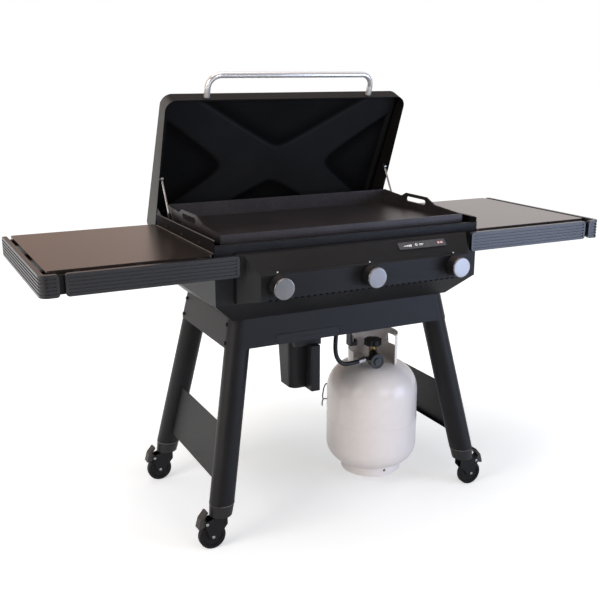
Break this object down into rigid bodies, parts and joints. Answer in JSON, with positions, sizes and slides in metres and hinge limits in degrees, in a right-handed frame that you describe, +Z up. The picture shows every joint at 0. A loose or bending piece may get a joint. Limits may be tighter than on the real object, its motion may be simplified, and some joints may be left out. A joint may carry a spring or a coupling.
{
  "type": "gas griddle",
  "caption": "Free-standing gas griddle with a hinged lid, steel cooking plate, side shelves, splayed tube legs on locking casters, grease bucket and hung gas cylinder.",
  "frame": {"origin": "on the floor under the middle of the open part's box", "axes": "+X to the right as seen from the knobs, +Y to the back, +Z up"},
  "size_m": [1.876, 0.8294, 1.3968],
  "materials": {
    "powder_coat": "fine textured satin black powder coat",
    "lid_enamel": "fine textured dark grey powder coat",
    "liner_enamel": "matt black heat-proof enamel",
    "griddle_steel": "seasoned carbon steel, satin",
    "bright_steel": "brushed stainless",
    "knob_plastic": "matt black",
    "shelf_coat": "fine textured dark grey-brown coat",
    "rail_coat": "satin grey coat with polished ribs",
    "hose_rubber": "smooth black rubber",
    "wheel_rubber": "smooth black",
    "collar_plastic": "grey moulded plastic",
    "pedal_plastic": "grey-brown moulded plastic",
    "zinc_steel": "zinc plated",
    "tank_paint": "gloss cream paint",
    "valve_brass": "cast brass",
    "display_glass": "glossy smoked black",
    "lamp_lens": "clear white lens",
    "bucket_plastic": "satin black coat"
  },
  "bodies": {
    "cart": {"firebox_walls": "powder_coat", "firebox_floor": "powder_coat", "control_fascia": "powder_coat", "cart_skirt": "powder_coat", "legs": "powder_coat", "leg_side_panels": "powder_coat", "bucket_holder": "powder_coat", "griddle_rests": "powder_coat", "shelf_supports": "powder_coat", "tank_hanger": "powder_coat", "shelf_left": "shelf_coat", "shelf_right": "shelf_coat", "front_rails": "rail_coat", "end_rails": "rail_coat", "gas_hose": "hose_rubber", "leg_collars": "collar_plastic", "burners": "zinc_steel", "hinge_pins": "zinc_steel", "igniters": "zinc_steel", "gas_manifold": "zinc_steel", "grease_chute": "zinc_steel", "frame_bolts": "zinc_steel", "tank_shell": "tank_paint", "tank_collar": "tank_paint", "tank_valve": "valve_brass", "gas_valves": "valve_brass", "regulator": "knob_plastic", "display": "display_glass", "indicator_lamps": "lamp_lens"},
    "lid": {"lid_shell": "lid_enamel", "lid_liner": "liner_enamel", "liner_spacers": "liner_enamel", "lid_handle": "bright_steel", "hinge_arms": "powder_coat"},
    "griddle": {"griddle_plate": "griddle_steel"},
    "bucket": {"grease_bucket": "bucket_plastic"},
    "tank_wheel": {"tank_handwheel": "knob_plastic"},
    "strut_tube_left": {"strut_cylinder_left": "powder_coat"},
    "strut_piston_left": {"strut_rod_left": "zinc_steel"},
    "strut_tube_right": {"strut_cylinder_right": "powder_coat"},
    "strut_piston_right": {"strut_rod_right": "zinc_steel"},
    "knob_left": {"knob_body_left": "knob_plastic", "knob_cap_left": "bright_steel"},
    "knob_middle": {"knob_body_middle": "knob_plastic", "knob_cap_middle": "bright_steel"},
    "knob_right": {"knob_body_right": "knob_plastic", "knob_cap_right": "bright_steel"},
    "caster_front_left": {"caster_fork_front_left": "powder_coat"},
    "wheel_front_left": {"caster_wheel_front_left": "wheel_rubber"},
    "pedal_front_left": {"brake_pedal_front_left": "pedal_plastic"},
    "caster_front_right": {"caster_fork_front_right": "powder_coat"},
    "wheel_front_right": {"caster_wheel_front_right": "wheel_rubber"},
    "pedal_front_right": {"brake_pedal_front_right": "pedal_plastic"},
    "caster_rear_left": {"caster_fork_rear_left": "powder_coat"},
    "wheel_rear_left": {"caster_wheel_rear_left": "wheel_rubber"},
    "pedal_rear_left": {"brake_pedal_rear_left": "pedal_plastic"},
    "caster_rear_right": {"caster_fork_rear_right": "powder_coat"},
    "wheel_rear_right": {"caster_wheel_rear_right": "wheel_rubber"},
    "pedal_rear_right": {"brake_pedal_rear_right": "pedal_plastic"}
  },
  "joints": [
    {"name": "lid_hinge", "type": "hinge", "parent": "cart", "child": "lid", "pos_m": [0, 0.21326, 0.83], "axis": [-1, 0, 0], "range_deg": [-68.4, 0]},
    {"name": "strut_left_swing", "type": "hinge", "parent": "cart", "child": "strut_tube_left", "pos_m": [-0.427, 0.12626, 0.849], "axis": [-1, 0, 0], "range_deg": [-80.09, 0.5]},
    {"name": "strut_left_stroke", "type": "slide", "parent": "strut_tube_left", "child": "strut_piston_left", "axis": [0, 0.4979, 0.8672], "range_m": [-0.0936, 0.0005]},
    {"name": "strut_right_swing", "type": "hinge", "parent": "cart", "child": "strut_tube_right", "pos_m": [0.427, 0.12626, 0.849], "axis": [-1, 0, 0], "range_deg": [-80.09, 0.5]},
    {"name": "strut_right_stroke", "type": "slide", "parent": "strut_tube_right", "child": "strut_piston_right", "axis": [0, 0.4979, 0.8672], "range_m": [-0.0936, 0.0005]},
    {"name": "griddle_lift", "type": "slide", "parent": "cart", "child": "griddle", "axis": [0, 0, 1], "range_m": [0, 0.06]},
    {"name": "knob_left_turn", "type": "hinge", "parent": "cart", "child": "knob_left", "pos_m": [-0.2988, -0.40174, 0.8205], "axis": [0, -1, 0], "range_deg": [0, 220]},
    {"name": "knob_middle_turn", "type": "hinge", "parent": "cart", "child": "knob_middle", "pos_m": [0, -0.40174, 0.8205], "axis": [0, -1, 0], "range_deg": [0, 220]},
    {"name": "knob_right_turn", "type": "hinge", "parent": "cart", "child": "knob_right", "pos_m": [0.2988, -0.40174, 0.8205], "axis": [0, -1, 0], "range_deg": [0, 220]},
    {"name": "bucket_slide", "type": "slide", "parent": "cart", "child": "bucket", "axis": [0, -1, 0], "range_m": [0, 0.12]},
    {"name": "caster_front_left_swivel", "type": "hinge", "parent": "cart", "child": "caster_front_left", "pos_m": [-0.449, -0.26974, 0.106], "axis": [0, 0, 1], "continuous": true},
    {"name": "wheel_front_left_roll", "type": "hinge", "parent": "caster_front_left", "child": "wheel_front_left", "pos_m": [-0.479, -0.26974, 0.042], "axis": [0, 1, 0], "continuous": true},
    {"name": "pedal_front_left_press", "type": "hinge", "parent": "caster_front_left", "child": "pedal_front_left", "pos_m": [-0.498, -0.26974, 0.087], "axis": [0, -1, 0], "range_deg": [0, 18]},
    {"name": "caster_front_right_swivel", "type": "hinge", "parent": "cart", "child": "caster_front_right", "pos_m": [0.449, -0.26974, 0.106], "axis": [0, 0, 1], "continuous": true},
    {"name": "wheel_front_right_roll", "type": "hinge", "parent": "caster_front_right", "child": "wheel_front_right", "pos_m": [0.479, -0.26974, 0.042], "axis": [0, 1, 0], "continuous": true},
    {"name": "pedal_front_right_press", "type": "hinge", "parent": "caster_front_right", "child": "pedal_front_right", "pos_m": [0.498, -0.26974, 0.087], "axis": [0, 1, 0], "range_deg": [0, 18]},
    {"name": "caster_rear_left_swivel", "type": "hinge", "parent": "cart", "child": "caster_rear_left", "pos_m": [-0.449, 0.24626, 0.106], "axis": [0, 0, 1], "continuous": true},
    {"name": "wheel_rear_left_roll", "type": "hinge", "parent": "caster_rear_left", "child": "wheel_rear_left", "pos_m": [-0.479, 0.24626, 0.042], "axis": [0, 1, 0], "continuous": true},
    {"name": "pedal_rear_left_press", "type": "hinge", "parent": "caster_rear_left", "child": "pedal_rear_left", "pos_m": [-0.498, 0.24626, 0.087], "axis": [0, -1, 0], "range_deg": [0, 18]},
    {"name": "caster_rear_right_swivel", "type": "hinge", "parent": "cart", "child": "caster_rear_right", "pos_m": [0.449, 0.24626, 0.106], "axis": [0, 0, 1], "continuous": true},
    {"name": "wheel_rear_right_roll", "type": "hinge", "parent": "caster_rear_right", "child": "wheel_rear_right", "pos_m": [0.479, 0.24626, 0.042], "axis": [0, 1, 0], "continuous": true},
    {"name": "pedal_rear_right_press", "type": "hinge", "parent": "caster_rear_right", "child": "pedal_rear_right", "pos_m": [0.498, 0.24626, 0.087], "axis": [0, 1, 0], "range_deg": [0, 18]},
    {"name": "tank_wheel_turn", "type": "hinge", "parent": "cart", "child": "tank_wheel", "pos_m": [0.185, -0.09294, 0.51], "axis": [0, 0, 1], "range_deg": [0, 720]}
  ],
  "couplings": [
    {"joint": "strut_left_swing", "follows": "lid_hinge", "ratio": 1.1635},
    {"joint": "strut_left_stroke", "follows": "lid_hinge", "m_per_rad": 0.077983},
    {"joint": "strut_right_swing", "follows": "lid_hinge", "ratio": 1.1635},
    {"joint": "strut_right_stroke", "follows": "lid_hinge", "m_per_rad": 0.077983}
  ]
}
